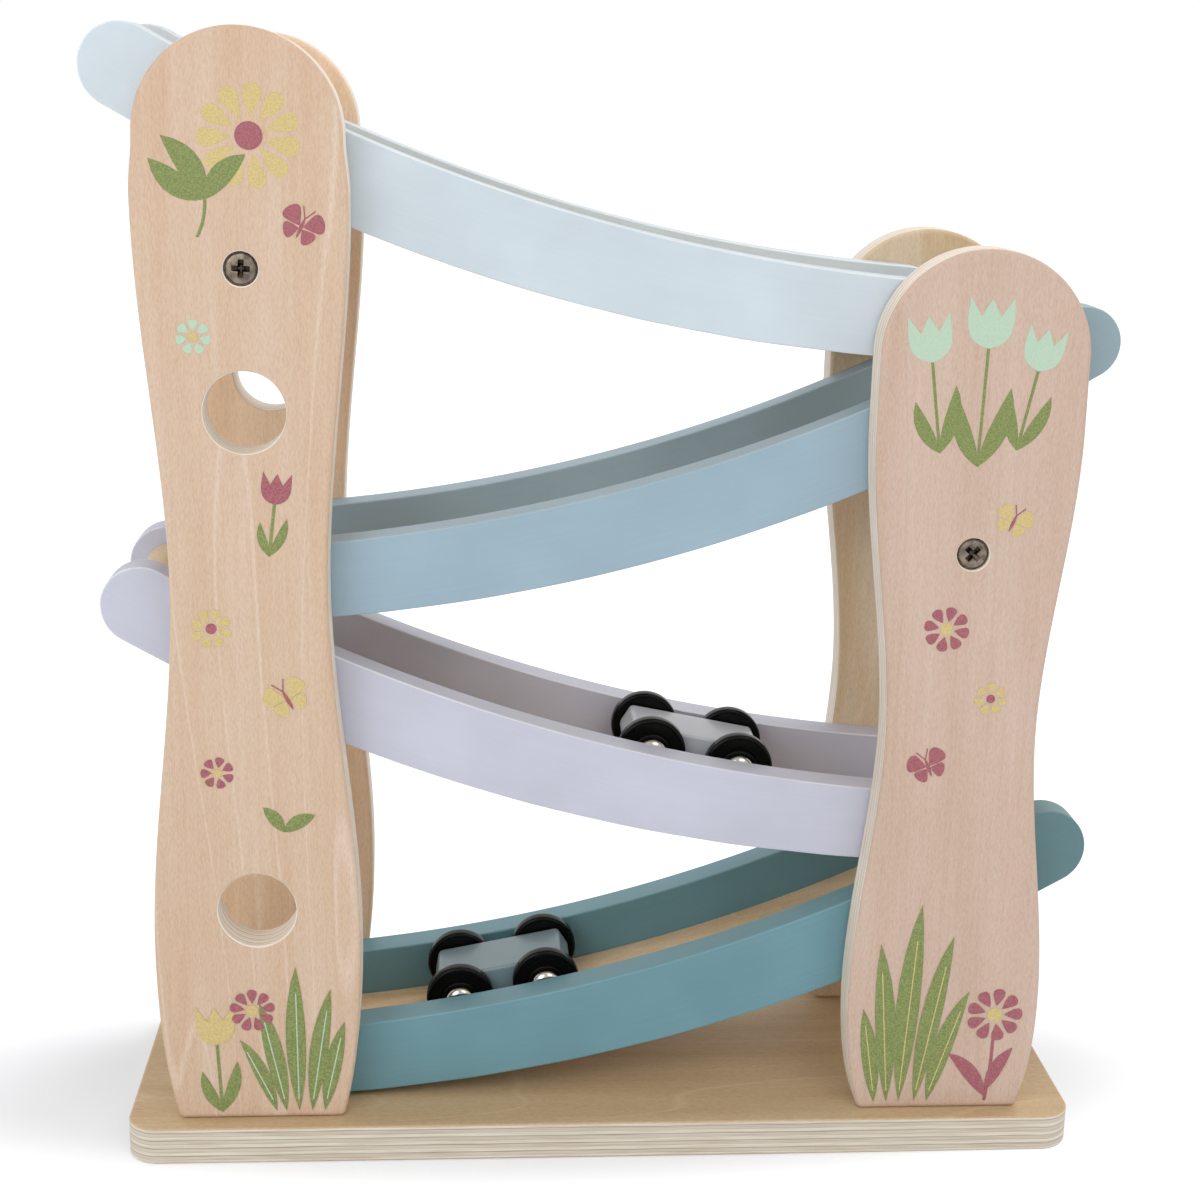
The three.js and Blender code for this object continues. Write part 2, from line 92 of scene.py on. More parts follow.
# sliced birch veneer under a thin matt lacquer: pale, slightly pink, with faint long streaks, a speckle of
# short pores, a broad change of tone from one growth ring to the next and a thin line between them
def birchFace(name, look):
    material, tree, shader, place = newMaterial(name)
    still = (0, 0, 0)
    patterns = {"streak": (still, {"Detail": 5, "Roughness": 0.62}), "fleck": (still, {"Detail": 1.5}),
                "ring": (look["shift"], {"Detail": 2.5, "Distortion": 0.7}),
                "growth": (look["shift"], {"Detail": 0.7})}
    noise = {}
    for part, (shift, settings) in patterns.items():
        scale = [1 / look[part + "Mm"] / mm] * 3
        scale["xyz".index(look["grain"])] = 1 / look[part + "LengthMm"] / mm  # longer along the grain
        along = addNode(tree, "Mapping", {"Scale": scale, "Location": shift}, {"Vector": place})
        noise[part] = addNode(tree, "TexNoise", {"Scale": 1, **settings}, {"Vector": along})
    tone = addNode(tree, "ValToRGB", {"stops": ((0.28, 0.5, 0.72), look["tones"])}, {"Fac": noise["ring"]})
    steps = addNode(tree, "Math", {"operation": "MULTIPLY", 1: look["growthLines"]}, {0: noise["growth"]})
    growth = addNode(tree, "Math", {"operation": "FRACT"}, {0: steps})
    growthLineAndEdgeHighlight = addNode(tree, "ValToRGB", {"stops": ((0.92, 0.965, 1), (0, 1, 0))}, {"Fac": growth})
    faint = addNode(tree, "Math", {"operation": "MULTIPLY", 1: look["growthMix"]}, {0: growthLineAndEdgeHighlight})
    colour = addNode(tree, "Mix", {"data_type": "RGBA", 7: hexToLinear(look["growth"])},
                     {0: faint, 6: tone}).outputs[2]
    for part, clear in (("streak", 0.62), ("fleck", 0.6)):
        stops = ((0.3, clear), (look[part + "Dark"], 1))
        marks = addNode(tree, "ValToRGB", {"stops": stops}, {"Fac": noise[part]})
        colour = addNode(tree, "Mix", {**multiply, 0: look[part + "Mix"]}, {6: colour, 7: marks}).outputs[2]
    bump = addNode(tree, "Bump", {"Strength": 0.06, "Distance": 0.08 * mm}, {"Height": noise["streak"]})
    setNode(tree, shader, {"Roughness": look["roughness"], "IOR": 1.45},
            {"Base Color": colour, "Normal": bump})
    return material


# sawn edge of plywood: long-grain plies read as pale cream, end-grain plies between them as a darker
# grey brown, a thin glue line parts each from the next, and torn fibres streak along the plies
def plyEdge(name, look):
    material, tree, shader, place = newMaterial(name)
    across = "XYZ".index(look["across"])
    pitch = look["thickMm"] / look["plies"] * 2 * mm
    stretch = [1 / look["poreLengthMm"] / mm] * 3
    stretch[across] = 1 / look["poreMm"] / mm
    sway = look["swayMm"] * mm
    axis = addNode(tree, "SeparateXYZ", None, {0: place}).outputs[across]
    shifted = addNode(tree, "Math", {"operation": "SUBTRACT", 1: look["startMm"] * mm}, {0: axis})
    wobble = addNode(tree, "TexNoise", {"Scale": 1 / (look["swayLengthMm"] * mm), "Detail": 2},
                     {"Vector": place})
    wave = addNode(tree, "Math", {"operation": "MULTIPLY_ADD", 1: sway, 2: -sway / 2}, {0: wobble})
    swayed = addNode(tree, "Math", {"operation": "ADD"}, {0: shifted, 1: wave})
    turns = addNode(tree, "Math", {"operation": "DIVIDE", 1: pitch}, {0: swayed})
    share = addNode(tree, "Math", {"operation": "FRACT"}, {0: turns})
    tones = [look[part] for part in ("glue", "long", "long", "seam", "end", "end", "glue")]
    plies = addNode(tree, "ValToRGB", {"stops": ((0, 0.07, 0.44, 0.5, 0.58, 0.9, 0.97), tones)},
                    {"Fac": share})
    long = addNode(tree, "Mapping", {"Scale": stretch}, {"Vector": place})
    pores = addNode(tree, "TexNoise", {"Scale": 1, "Detail": 4}, {"Vector": long})
    dots = addNode(tree, "ValToRGB", {"stops": ((0.34, 0.6), (look["pore"], 1))}, {"Fac": pores})
    mixed = addNode(tree, "Mix", {**multiply, 0: look["poreMix"]}, {6: plies, 7: dots})
    bump = addNode(tree, "Bump", {"Strength": 0.2, "Distance": 0.15 * mm}, {"Height": share})
    setNode(tree, shader, {"Roughness": 0.62}, {"Base Color": mixed.outputs[2], "Normal": bump})
    return material


# cloudMm sizes the paint's faint clouds; the other two give where a painted shade at a rail's right end
# begins and where it is full
paintSizes = {"cloudMm": 35, "rightShadeFromMm": 112, "rightShadeToMm": 136}


# water-based satin paint rolled on sanded wood: an even colour in which the grain still stands out as
# faint long ridges, with a paler copy as a painted highlight on edges and a painted shade multiplied in at
# the right
def satinPaint(name, look):
    material, tree, shader, place = newMaterial(name)
    fine = 1 / look["grainMm"] / mm
    stretch = (1 / look["grainLengthMm"] / mm, fine, fine)
    centre = addNode(tree, "VectorMath", {"operation": "SUBTRACT", 1: look["arcCentre"]}, {0: place})
    parts = addNode(tree, "SeparateXYZ", None, {0: centre})
    reach = addNode(tree, "VectorMath", {"operation": "MULTIPLY", 1: (1, 0, 1)}, {0: centre})
    radius = addNode(tree, "VectorMath", {"operation": "LENGTH"}, {0: reach}).outputs["Value"]
    grainAt = addNode(tree, "CombineXYZ", None, {0: parts, 1: parts.outputs[1], 2: radius})
    long = addNode(tree, "Mapping", {"Scale": stretch}, {"Vector": grainAt})
    grain = addNode(tree, "TexNoise", {"Scale": 1, "Detail": 4, "Roughness": 0.6}, {"Vector": long})
    cloud = addNode(tree, "TexNoise", {"Scale": 1 / (paintSizes["cloudMm"] * mm), "Detail": 2},
                    {"Vector": place})
    tint = addNode(tree, "ValToRGB", {"stops": ((0.3, 0.55, 0.75), look["tones"])}, {"Fac": grain})
    soft = addNode(tree, "ValToRGB", {"stops": ((0.3, 0.7), ("#f2f2f2", 1))}, {"Fac": cloud})
    mixed = addNode(tree, "Mix", {**multiply, 0: 1}, {6: tint, 7: soft})
    # painted shade: towards the right end the colour is multiplied by a darker tone, standing in for the
    # dimmer light there
    across = addNode(tree, "SeparateXYZ", None, {0: place})
    rightShadeRamp = addNode(tree, "MapRange", {"interpolation_type": "SMOOTHSTEP",
                                       "From Min": paintSizes["rightShadeFromMm"] * mm,
                                       "From Max": paintSizes["rightShadeToMm"] * mm}, {"Value": across})
    rightShade = addNode(tree, "Mix", {**multiply, 7: hexToLinear(look["rightShade"])}, {0: rightShadeRamp, 6: mixed.outputs[2]})
    bump = addNode(tree, "Bump", {"Strength": 0.04, "Distance": 0.05 * mm}, {"Height": grain})
    setNode(tree, shader, {"Roughness": look["roughness"], "IOR": 1.48},
            {"Base Color": rightShade.outputs[2], "Normal": bump})
    return material


# injection-moulded polypropylene: near black, smooth, with a soft gloss and fine handling scuffs
def mouldedBlack(name, look):
    material, tree, shader, place = newMaterial(name)
    scuff = addNode(tree, "TexNoise", {"Scale": 1 / (look["scuffMm"] * mm), "Detail": 5}, {"Vector": place})
    tone = addNode(tree, "ValToRGB", {"stops": ((0.3, 0.7), look["tones"])}, {"Fac": scuff})
    dull = addNode(tree, "ValToRGB", {"stops": ((0.35, 0.75), look["dulness"])}, {"Fac": scuff})
    setNode(tree, shader, {"IOR": 1.49, "Specular IOR Level": 0.12}, {"Base Color": tone, "Roughness": dull})
    return material


# plated steel: chrome is mirror-like, with a tone set darker than bare chrome as a painted shade for the
# dark surroundings it would reflect; nickel on a screw is warmer and duller with rubbed patches
def platedSteel(name, look):
    material, tree, shader, place = newMaterial(name)
    rub = addNode(tree, "TexNoise", {"Scale": 1 / (look["rubMm"] * mm), "Detail": 4}, {"Vector": place})
    tone = addNode(tree, "ValToRGB", {"stops": ((0.35, 0.65), look["tones"])}, {"Fac": rub})
    dull = addNode(tree, "ValToRGB", {"stops": ((0.3, 0.7), look["dulness"])}, {"Fac": rub})
    setNode(tree, shader, {"Metallic": 1}, {"Base Color": tone, "Roughness": dull})
    return material


# screen-printed ink: flat and matt, with the speckle of the screen's mesh, drawn coarse so that it shows
def printInk(name, tones, speckleMm):
    material, tree, shader, place = newMaterial(name)
    grain = addNode(tree, "TexNoise", {"Scale": 1 / (speckleMm * mm), "Detail": 2}, {"Vector": place})
    tone = addNode(tree, "ValToRGB", {"stops": ((0.35, 0.65), tones)}, {"Fac": grain})
    setNode(tree, shader, {"Roughness": 0.6}, {"Base Color": tone})
    return material


postVeneer = {"grain": "z", "streakMm": 1.6, "streakLengthMm": 70, "ringMm": 15, "ringLengthMm": 150,
              "fleckMm": 0.32, "fleckLengthMm": 1.5, "growthMm": 40, "growthLengthMm": 420,
              "shift": (0, 0, 0), "tones": ("#cdb197", "#d2b9a2", "#d5bfab"),
              "streakDark": "#eee3d8", "streakMix": 0.35, "fleckDark": "#e2d1bf", "fleckMix": 0.42,
              "growthLines": 9, "growth": "#e2d2c3", "growthMix": 0.5, "roughness": 0.55}
# the right posts' veneer is darker: partly the wood's own tone, partly a painted shade for the dimmer light
# on the right side
rightVeneerShaded = dict(postVeneer, shift=(3.1, 0.4, 1.7), tones=("#c7ae9d", "#cbb4a5", "#ceb9ab"),
                   growth="#bda393", growthMix=0.3)
# the rear left post's veneer is paler: partly the wood's own tone, partly painted light making up for the
# shade behind the front post
rearLeftVeneerLit = dict(postVeneer, shift=(4.4, 0.3, 2.8), tones=("#e2c3a2", "#eacdae", "#efd7bc"),
                      growth="#f3e1cb")
rearRightVeneer = dict(postVeneer, shift=(0.7, 1.4, 5.2), tones=("#c6ac88", "#d0ba99", "#d8c8b0"),
                       growth="#dfcdb2")
boardVeneer = dict(postVeneer, grain="x", shift=(1.3, 2.2, 0.6), tones=("#bfa682", "#c6ae8b", "#ccb695"),
                   streakDark="#efe4d6", fleckDark="#dfcaaf", growth="#d5c0a0")
floorVeneer = dict(postVeneer, grain="x", shift=(2.3, 0.2, 0.9), tones=("#dcc29d", "#e5cdab", "#ecd7b9"),
                   streakDark="#e8d9c4", fleckDark="#d8bd99", growth="#f0dfc5")
dowelVeneer = dict(postVeneer, grain="y", shift=(0.3, 4.2, 0.9), tones=("#cbb08c", "#d6bd9b", "#dfc9aa"),
                   growth="#e2ccae")
plyLook = {"across": "Z", "thickMm": 12, "plies": 9, "startMm": 0, "long": "#dcd5c7", "end": "#cfc6b8",
           "glue": "#a69a8a", "seam": "#bdb1a0", "pore": "#dfd5c8", "poreMm": 0.4, "poreLengthMm": 16,
           "poreMix": 0.7, "swayMm": 0.3, "swayLengthMm": 14}
postPlyLook = dict(plyLook, across="Y", thickMm=13, long="#f4ece1", end="#e8ded1", glue="#b7a793",
                   seam="#cdbfad")
plasticLook = {"scuffMm": 2.2, "tones": ("#0a0b0a", "#0e0f0d"), "dulness": (0.16, 0.22)}
# chrome's tones are darker than bare chrome, a painted shade for the dark surroundings it would reflect
chromeLook = {"rubMm": 6, "tones": ("#a5a3a0", "#bbb9b6"), "dulness": (0.05, 0.1)}
nickelLook = {"rubMm": 2, "tones": ("#6e6259", "#9a8c7d"), "dulness": (0.2, 0.36)}
# the cross recess gets a darker nickel, a painted shade standing in for the shade inside it
recessShadeLook = {"rubMm": 1, "tones": ("#3d352e", "#5b5147"), "dulness": (0.25, 0.4)}
birchLeft = birchFace("birch veneer left posts", postVeneer)
birchRight = birchFace("birch veneer right posts with painted shade", rightVeneerShaded)
birchRear = {"left": birchFace("birch veneer rear left post with painted light", rearLeftVeneerLit),
             "right": birchFace("birch veneer rear right post", rearRightVeneer)}
birchBoard = birchFace("birch veneer board", boardVeneer)
birchFloor = birchFace("sanded plywood track floor", floorVeneer)
beechDowel = birchFace("beech dowel", dowelVeneer)
edgeBoard = plyEdge("birch plywood edge board", plyLook)
edgeFront = plyEdge("birch plywood edge front posts", dict(postPlyLook, startMm=-46.5))
edgeRear = plyEdge("birch plywood edge rear posts", dict(postPlyLook, startMm=33.5))
blackPlastic = mouldedBlack("moulded black polypropylene", plasticLook)
chrome = platedSteel("chromed steel", chromeLook)
nickel = platedSteel("nickel plated steel", nickelLook)
recessShadeNickel = platedSteel("nickel plated steel with painted shade in the recess", recessShadeLook)
print("materials ready")


# flat outlines are lists of cubic pieces (start, handle, handle, end) in millimetres
def straight(a, b):
    a, b = Vector(a), Vector(b)
    return [(a, a.lerp(b, 1 / 3), a.lerp(b, 2 / 3), b)]


def isStraight(piece):
    a, handleA, handleB, b = piece
    return (handleA - a.lerp(b, 1 / 3)).length + (handleB - a.lerp(b, 2 / 3)).length < 1e-4


def quarter(centre, fromArm, toArm):
    fromArm, toArm = Vector(fromArm), Vector(toArm)
    a, b = Vector(centre) + fromArm, Vector(centre) + toArm
    pull = 4 / 3 * (sqrt(2) - 1)
    return [(a, a + pull * toArm, b + pull * fromArm, b)]


def arc(centre, radiusFrom, radiusTo, turnFrom, turnTo):
    pull = 4 / 3 * tan((turnTo - turnFrom) / 4)
    centre = Vector(centre)
    a = Vector((cos(turnFrom), sin(turnFrom))) * radiusFrom
    b = Vector((cos(turnTo), sin(turnTo))) * radiusTo
    aside = Vector((-a.y, a.x)) * pull
    bside = Vector((-b.y, b.x)) * pull
    return [(centre + a, centre + a + aside, centre + b - bside, centre + b)]


def circle(centre, radius):
    arms = [Vector((radius, 0)), Vector((0, radius)), Vector((-radius, 0)), Vector((0, -radius))]
    return [piece for i in range(4) for piece in quarter(centre, arms[i], arms[(i + 1) % 4])]


def anticlockwise(loop):
    area = sum(p[0].x * p[3].y - p[3].x * p[0].y for p in loop)
    return loop if area > 0 else [(p[3], p[2], p[1], p[0]) for p in reversed(loop)]


def linked(name, data):
    holder = bpy.data.objects.new(name, data)
    scene.collection.objects.link(holder)
    return holder


def bmToMesh(name, bm):
    mesh = bpy.data.meshes.new(name)
    bm.to_mesh(mesh)
    bm.free()
    return mesh


def meshOf(holder):
    return bpy.data.meshes.new_from_object(holder.evaluated_get(bpy.context.evaluated_depsgraph_get()))


# a flat outline becomes a board of that thickness with rounded edges, lying in X and Y about Z = 0
def boardMesh(name, outline, thickness, edge, steps=20, edgeSteps=3):
    curve = bpy.data.curves.new(name, "CURVE")
    curve.dimensions = "2D"
    curve.fill_mode = "BOTH"
    curve.resolution_u = steps
    curve.extrude = (thickness / 2 - edge) * mm
    curve.bevel_depth = edge * mm
    curve.bevel_resolution = edgeSteps
    curve.offset = -edge * mm
    loop = anticlockwise(outline)
    spline = curve.splines.new("BEZIER")
    spline.bezier_points.add(len(loop) - 1)
    spline.use_cyclic_u = True
    for i, point in enumerate(spline.bezier_points):
        point.handle_right_type = "VECTOR" if isStraight(loop[i]) else "FREE"
        point.handle_left_type = "VECTOR" if isStraight(loop[i - 1]) else "FREE"
        point.co = (loop[i][0] * mm).to_3d()
        point.handle_right = (loop[i][1] * mm).to_3d()
        point.handle_left = (loop[i - 1][2] * mm).to_3d()
    holder = linked(name, curve)
    mesh = meshOf(holder)
    bpy.data.objects.remove(holder)
    bpy.data.curves.remove(curve)
    mesh.materials.clear()
    return mesh


def weldBm(bm):
    bmesh.ops.remove_doubles(bm, verts=bm.verts, dist=weld)
    bmesh.ops.dissolve_degenerate(bm, edges=bm.edges, dist=weld)


def meshToBm(mesh, place):
    bm = bmesh.new()
    bm.from_mesh(mesh)
    bm.transform(place)
    weldBm(bm)
    bmesh.ops.recalc_face_normals(bm, faces=bm.faces)
    return bm


def cutBm(bm, cutter):
    blank, tool = linked("blank", bmToMesh("blank", bm)), linked("cutter", bmToMesh("cutter", cutter))
    cut = blank.modifiers.new("cut", "BOOLEAN")
    cut.object = tool
    cut.operation = "DIFFERENCE"
    cut.solver = "EXACT"
    bpy.context.view_layer.update()
    mesh = meshOf(blank)
    bpy.data.objects.remove(blank)
    bpy.data.objects.remove(tool)
    result = bmesh.new()
    result.from_mesh(mesh)
    bpy.data.meshes.remove(mesh)
    weldBm(result)
    return result


squareTo = 0.9995  # cosine from which a face counts as square to an axis


# faces square to flatAxis stay flat, the rest are smoothed up to the sharp angle, and weighted normals keep
# broad faces flat beside their rounded edges
def finishPiece(name, bm, materials, body, nodes=(), flatAxis=None, sharp=40):
    mesh = bmToMesh(name, bm)
    for material in materials:
        mesh.materials.append(material)
    for face in mesh.polygons:
        face.use_smooth = flatAxis is None or abs(face.normal["xyz".index(flatAxis)]) < squareTo
    mesh.set_sharp_from_angle(angle=radians(sharp))
    piece = linked(name, mesh)
    flats = piece.modifiers.new("flats", "WEIGHTED_NORMAL")
    flats.keep_sharp = True
    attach(piece, body)
    if nodes:
        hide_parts(*nodes)


turnSteps = {"pin": 24, "small": 48, "wheel": 64, "hole": 96}


# lathe: a profile of [radius, y] pairs in millimetres, spun round the Y axis
def turnedBm(profile, steps, closed=False):
    bm = bmesh.new()
    verts = [bm.verts.new((r * mm, y * mm, 0)) for r, y in profile]
    edges = [bm.edges.new(pair) for pair in zip(verts, verts[1:])]
    if closed:
        edges.append(bm.edges.new((verts[-1], verts[0])))
    bmesh.ops.spin(bm, geom=verts + edges, cent=(0, 0, 0), axis=(0, 1, 0), angle=2 * pi, steps=steps,
                   use_merge=True)
    bmesh.ops.remove_doubles(bm, verts=bm.verts, dist=weld)
    bmesh.ops.recalc_face_normals(bm, faces=bm.faces)
    return bm


def mergeBm(target, source, place):
    source.transform(place)
    mesh = bmToMesh("part", source)
    target.from_mesh(mesh)
    bpy.data.meshes.remove(mesh)


def at(x, y, z):
    return Matrix.Translation((x * mm, y * mm, z * mm))


upright = Matrix.Rotation(pi / 2, 4, "X")  # outline Y becomes up, and thickness runs front to back
skew = Matrix.Rotation(0.023, 4, "Y")  # keeps the facets of a round cutter off the board's own lines
rows = {"front": -1, "rear": 1}

# tracks: the faces of a rail that slope between edgeFrom and edgeTo carry a paler paint, a painted highlight
# on its rounded edges
trackSizes = {"postX": 107.7, "lowX": 98.0, "railRadius": 555, "lowDepth": 23, "belly": 1.4, "bellySteps": 8,
              "railThick": 11, "railY": 28, "railEdge": 0.6, "edgeFrom": 0.15, "edgeTo": 0.97,
              "floorRadius": 570.8, "floorThick": 4, "floorWidth": 44.9, "floorEdge": 0.3,
              "floorSetback": 14, "stopDiameter": 14, "stopBack": 0.8, "stopEdge": 0.5, "gap": 0.25,
              "landing": 4.6, "lowRest": 12.4, "curveSteps": 40}
# in each track the last two colours are painted light: a paler tone on the rounded edges as a painted
# highlight, and a darker tone multiplied in at the right end as a painted shade
trackLooks = {
    "track1": {"high": -1, "overrun": 25.8, "highX": 141.0, "highDepth": 24.2, "rearTrim": -1,
               "slot": "mint_paint", "paint": "satin paint pale mint", "colour": "#cad6de",
               "growthLineAndEdgeHighlight": "#dde4e4", "rightShade": "#ffffff"},
    "track2": {"high": 1, "overrun": 34.8, "highX": 140.7, "highDepth": 22, "rearTrim": 0,
               "slot": "blue_paint", "paint": "satin paint light blue", "colour": "#98b0be",
               "growthLineAndEdgeHighlight": "#a6bac4", "rightShade": "#f6f4ee"},
    "track3": {"high": -1, "overrun": 30.5, "highX": 141.5, "highDepth": 24.2, "rearTrim": 0,
               "slot": "lilac_paint", "paint": "satin paint lilac grey", "colour": "#c4c6d5",
               "growthLineAndEdgeHighlight": "#e2e2e9", "rightShade": "#ffffff"},
    "track4": {"high": 1, "overrun": 32.5, "highX": 141.2, "highDepth": 24.8, "rearTrim": 1.3,
               "slot": "teal_paint", "paint": "satin paint teal", "colour": "#6a95a0",
               "growthLineAndEdgeHighlight": "#739ca6", "rightShade": "#e1dcd5"},
}


def topEdge(track, x):
    return track["arcZ"] - sqrt(trackSizes["railRadius"] ** 2 - (x - track["arcX"]) ** 2)


# each track's low end rests just above the track below it
below = None
for name in ("track4", "track3", "track2", "track1"):
    t, s = trackLooks[name], trackSizes
    lowEnd = -t["high"] * s["lowX"]
    rest = topEdge(below, lowEnd) + s["landing"] if below else s["lowRest"]
    offset = s["postX"] + t["overrun"]
    t["arcX"] = -t["high"] * offset
    t["arcZ"] = rest + s["lowDepth"] + sqrt(s["railRadius"] ** 2 - (lowEnd - t["arcX"]) ** 2)
    t["lowTurn"] = asin((offset - s["lowX"]) / (s["railRadius"] + s["lowDepth"] / 2))
    t["highTurn"] = asin((offset + t["highX"]) / (s["railRadius"] + t["highDepth"] / 2))
    stopTurn = (s["stopDiameter"] / 2 + s["gap"]) / s["floorRadius"]
    t["floorHigh"] = t["highTurn"] - stopTurn
    t["floorLow"] = t["lowTurn"] + stopTurn
    if below:
        t["floorLow"] = asin((offset - s["lowX"] + s["floorSetback"]) / s["floorRadius"])
    below = t


def onArc(t, radius, turn):
    return Vector((t["arcX"] + t["high"] * radius * sin(turn), t["arcZ"] - radius * cos(turn)))


def polar(t, turn):
    return -pi / 2 + t["high"] * turn


def railOutline(t, trim):
    s = trackSizes
    highTurn = t["highTurn"] - trim / s["railRadius"]
    centre = (t["arcX"], t["arcZ"])
    outline = arc(centre, s["railRadius"], s["railRadius"], polar(t, t["lowTurn"]), polar(t, highTurn))

    def under(share):
        depth = s["lowDepth"] + (t["highDepth"] - s["lowDepth"]) * share + s["belly"] * sin(pi * share)
        return s["railRadius"] + depth, t["lowTurn"] + (highTurn - t["lowTurn"]) * share

    for turn, depth, sense in ((highTurn, t["highDepth"], 1), (t["lowTurn"], s["lowDepth"], -1)):
        middle = onArc(t, s["railRadius"] + depth / 2, turn)
        inward = (Vector(centre) - middle).normalized() * depth / 2
        along = Vector((t["high"] * cos(turn), sin(turn))) * sense * depth / 2
        outline += quarter(middle, sense * inward, along) + quarter(middle, along, -sense * inward)
        if sense > 0:
            ends = [under(i / s["bellySteps"]) for i in range(s["bellySteps"], -1, -1)]
            for (fromRadius, fromTurn), (toRadius, toTurn) in zip(ends, ends[1:]):
                outline += arc(centre, fromRadius, toRadius, polar(t, fromTurn), polar(t, toTurn))
    return outline


def floorOutline(t):
    centre = (t["arcX"], t["arcZ"])
    inner = trackSizes["floorRadius"]
    outer = inner + trackSizes["floorThick"]
    top = arc(centre, inner, inner, polar(t, t["floorLow"]), polar(t, t["floorHigh"]))
    under = arc(centre, outer, outer, polar(t, t["floorHigh"]), polar(t, t["floorLow"]))
    return top + straight(top[-1][3], under[0][0]) + under + straight(under[-1][3], top[0][0])


def placeDowel(node, diameter, length, edge, place):
    r, h, ease = diameter / 2, length / 2, 0.3 * edge
    profile = [(0, -h), (r - edge, -h), (r - ease, -h + ease), (r, -h + edge), (r, h - edge),
               (r - ease, h - ease), (r - edge, h), (0, h)]
    bm = turnedBm(profile, turnSteps["small"])
    bm.transform(place)
    finishPiece(f"{node}_dowel", bm, [beechDowel], "frame", [node])


for name, t in trackLooks.items():
    s = trackSizes
    tones = paintTones(t["colour"])
    look = {"tones": tones, "rightShade": t["rightShade"], "roughness": 0.42, "grainMm": 0.8, "grainLengthMm": 45,
            "arcCentre": (t["arcX"] * mm, 0, t["arcZ"] * mm)}
    paint = satinPaint(t["paint"], look)
    # painted highlight: a paler copy of the paint for the rounded edges
    highlightTones = [tones[2], t["growthLineAndEdgeHighlight"], t["growthLineAndEdgeHighlight"]]
    highlightPaint = satinPaint(t["paint"] + " painted highlight on an edge", dict(look, tones=highlightTones))
    for row, side in rows.items():
        outline = railOutline(t, t["rearTrim"] if side > 0 else 0)
        mesh = boardMesh("rail", outline, s["railThick"], s["railEdge"], s["curveSteps"])
        bm = meshToBm(mesh, at(0, side * s["railY"], 0) @ upright)
        # the rounded edge faces take the painted highlight
        for face in bm.faces:
            face.material_index = 1 if s["edgeFrom"] < abs(face.normal.y) < s["edgeTo"] else 0
        node = f"{name}_rail_{row}"
        finishPiece(f"{node}_painted", bm, [paint, highlightPaint], "frame", [node], "y")
    mesh = boardMesh("floor", floorOutline(t), s["floorWidth"], s["floorEdge"], s["curveSteps"], edgeSteps=1)
    bm = meshToBm(mesh, upright)
    finishPiece(f"{name}_floor_strip", bm, [birchFloor], "frame", [f"{name}_floor"], "y")
    ends = [("high", t["highTurn"] - s["stopBack"] / s["railRadius"], t["highDepth"])]
    if name == "track4":
        ends.append(("low", t["lowTurn"], s["lowDepth"]))
    for end, turn, depth in ends:
        middle = onArc(t, s["railRadius"] + depth / 2, turn)
        placeDowel(f"{name}_stop_{end}", s["stopDiameter"], s["floorWidth"], s["stopEdge"],
                   at(middle.x, 0, middle.y))
print("tracks ready")

# screws: the cross tapers from its mouth to its foot, each as a share of its length and width
screwSizes = {"head": 9, "headHeight": 2.4, "dome": 0.35, "rim": 0.3, "crossLength": 5.6, "crossWidth": 1.7,
              "crossDepth": 1.6, "crossMouth": (1.7, 1.65), "crossFoot": (0.3, 0.35), "skin": 0.12,
              "slack": 0.1, "sink": 3, "mouth": 10, "flare": 0.35, "shank": 4, "shankLength": 3}
past = 1  # how far a cutter stands past a face


def placeScrew(node, place):
    s = screwSizes
    r, shank, neck = s["head"] / 2, s["shank"] / 2, s["headHeight"]
    end = neck + s["shankLength"]
    profile = [(0, 0)] + [(r * k, s["dome"] * k * k) for k in (0.25, 0.5, 0.75, 0.92)]
    profile += [(r, s["dome"] + s["rim"]), (r, neck), (shank, neck), (shank, end), (0, end)]
    head = turnedBm(profile, turnSteps["small"])
    arms = Matrix.Diagonal((s["crossLength"] * mm, 2 * s["crossDepth"] * mm, s["crossWidth"] * mm, 1))
    for turn in (0, pi / 2):
        arm = bmesh.new()
        bmesh.ops.create_cube(arm, size=1)
        arm.transform(arms)
        for v in arm.verts:
            longer, wider = s["crossFoot"] if v.co.y > 0 else s["crossMouth"]
            v.co.x *= longer
            v.co.z *= wider
        arm.transform(Matrix.Rotation(turn, 4, "Y"))
        head = cutBm(head, arm)
    # faces inside the cross take the darker nickel, a painted shade
    for face in head.faces:
        c = face.calc_center_median() / mm
        out = hypot(c.x, c.z) / r
        surface = s["dome"] * out ** 2 + s["skin"]
        inside = out < s["crossLength"] / s["head"] and surface < c.y < s["crossDepth"] + s["slack"]
        face.material_index = 1 if inside else 0
    head.transform(place)
    finishPiece(f"{node}_head", head, [nickel, recessShadeNickel], "frame", [node], sharp=30)


# cutter for a screw's counterbore, which opens towards -Y with a small flare
def screwHoleBm():
    r, flare, depth = screwSizes["mouth"] / 2, screwSizes["flare"], screwSizes["sink"]
    wide = r + flare + past
    return turnedBm([(0, -past), (wide, -past), (r, flare), (r, depth), (0, depth)], turnSteps["small"])


# cutter for a round hole through a board, with a small flare at both faces
def throughHoleBm(r, thickness, flare):
    h, wide = thickness / 2, r + flare + past
    profile = [(0, -h - past), (wide, -h - past), (r, flare - h), (r, h - flare), (wide, h + past),
               (0, h + past)]
    return turnedBm(profile, turnSteps["hole"])


